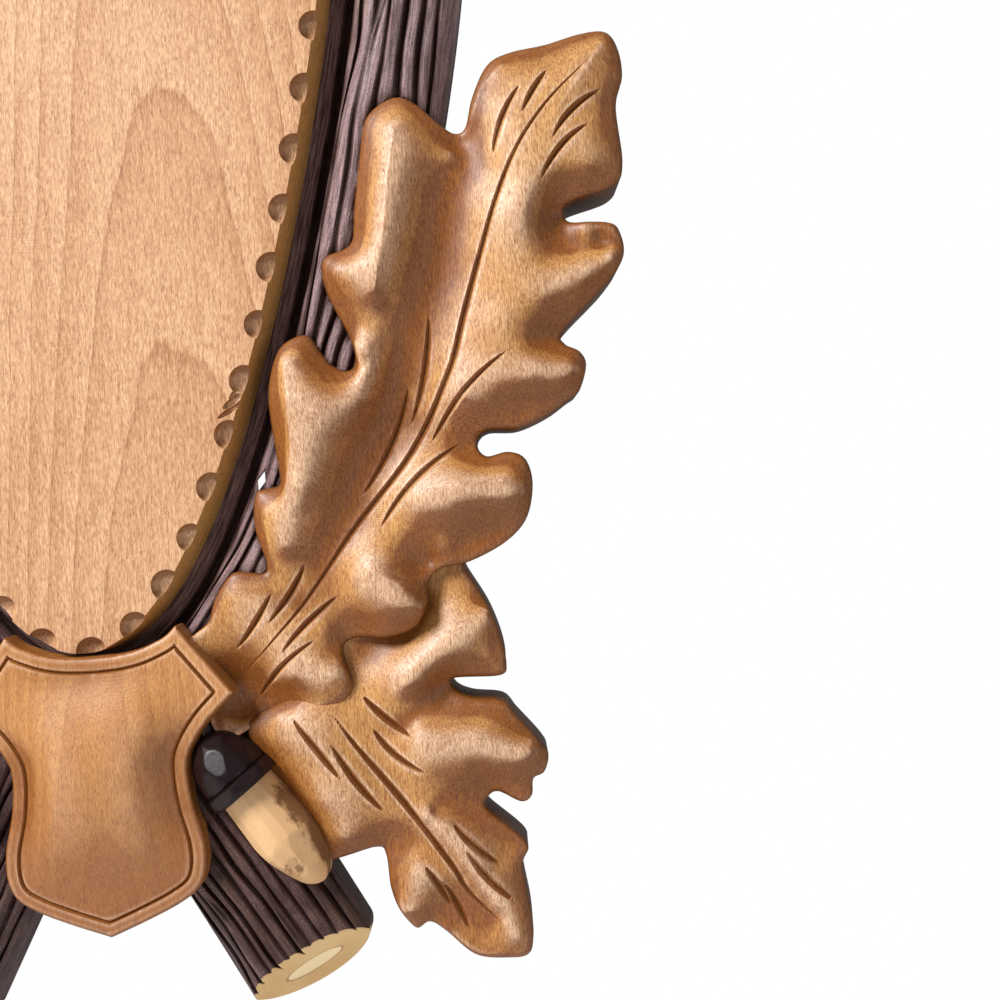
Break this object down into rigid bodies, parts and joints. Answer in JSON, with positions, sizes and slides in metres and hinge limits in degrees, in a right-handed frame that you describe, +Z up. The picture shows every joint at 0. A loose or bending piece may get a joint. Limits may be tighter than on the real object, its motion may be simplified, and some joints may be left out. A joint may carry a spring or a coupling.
{
  "type": "antler mounting plaque",
  "caption": "Carved wooden wall plaque for antlers: an egg-shaped notched panel in a bark frame of crossed branches, with a small shield, oak leaves and acorns.",
  "frame": {"origin": "on the flat back, on the middle line, 40 mm below the top of the centre panel", "axes": "+Z up the wall, -Y out from the wall towards the viewer, +X to the viewer's right"},
  "size_m": [0.4096, 0.0397, 0.5627],
  "materials": {
    "panel_lime": "pale pinkish-honey stain on lime wood, satin lacquer",
    "honey_stain": "honey-brown stain, darker in the cuts, satin lacquer",
    "crest_stain": "amber-brown stain, satin lacquer",
    "bark_stain": "dark purplish-brown stain with paler rubbed ridges, satin lacquer",
    "bare_nut": "pale unstained wood with a thin lacquer",
    "cap_stain": "near-black brown stain, glossy lacquer",
    "sawn_lime": "pale sawn end grain, matt"
  },
  "bodies": {
    "root": {"centre_panel": "panel_lime", "bark_frame": "bark_stain", "crest_shield": "crest_stain", "oak_leaves_right": "honey_stain", "oak_leaves_left": "honey_stain", "acorn_right": "bare_nut", "acorn_left": "bare_nut"}
  },
  "joints": []
}
